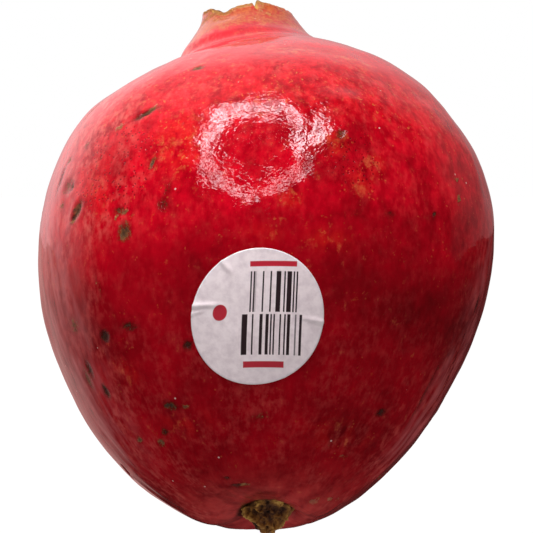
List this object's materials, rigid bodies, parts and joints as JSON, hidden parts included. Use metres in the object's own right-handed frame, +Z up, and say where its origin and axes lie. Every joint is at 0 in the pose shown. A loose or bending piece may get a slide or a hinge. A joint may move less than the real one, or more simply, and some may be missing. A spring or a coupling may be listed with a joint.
{
  "type": "pomegranate",
  "caption": "Whole red pomegranate with a clipped open calyx crown, dried stamens, a torn stem stub and a paper label, standing on a small flat spot.",
  "frame": {"origin": "middle of the small flat spot that the fruit stands on", "axes": "+Z up, with the crown leaning back towards +Y; -Y towards the labelled front; +X to the right seen from the front"},
  "size_m": [0.0961, 0.0976, 0.1111],
  "materials": {
    "rind": "glossy waxed fruit rind, crimson with orange mottling, pores and russet scars",
    "dry_wood": "matte torn woody tissue, olive brown with tan ridges",
    "dry_stamen": "matte dried filaments and anthers, tan",
    "label_paper": null
  },
  "bodies": {
    "root": {"fruit": "rind", "stem_stub": "dry_wood", "stamens": "dry_stamen", "label": "label_paper"}
  },
  "joints": []
}
